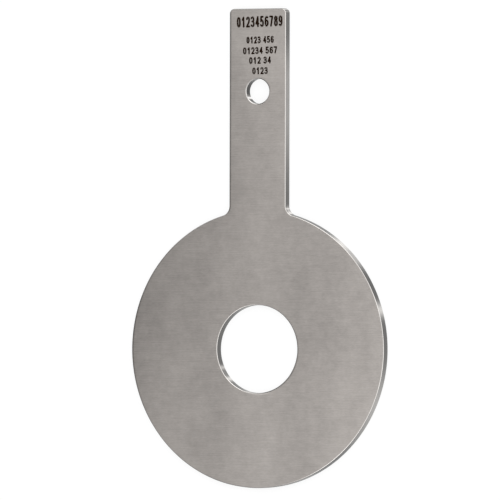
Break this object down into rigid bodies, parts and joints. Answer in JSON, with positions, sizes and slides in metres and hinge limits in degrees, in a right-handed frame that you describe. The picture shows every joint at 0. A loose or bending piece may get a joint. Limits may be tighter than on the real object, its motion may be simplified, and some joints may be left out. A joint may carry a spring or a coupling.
{
  "type": "orifice plate",
  "caption": "Flat steel disc with a centred round bore and a long straight tab with a round hole, clamped between pipe flanges to meter or restrict flow.",
  "frame": {"origin": "centre of the bore, half way through the plate's thickness", "axes": "+Z along the bore axis and out of the inlet face, +Y along the tab towards its free end, +X to the right when the inlet face is seen with the tab up"},
  "size_m": [0.1492, 0.2574, 0.0052],
  "materials": {
    "plate": "stainless steel, finely brushed across the tab on both faces, with small polished rounds along the rim, the tab and the bore, a bright chamfer round the tab hole, and turned walls at the rim and the bore"
  },
  "bodies": {
    "root": {"orifice_plate": "plate"}
  },
  "joints": []
}
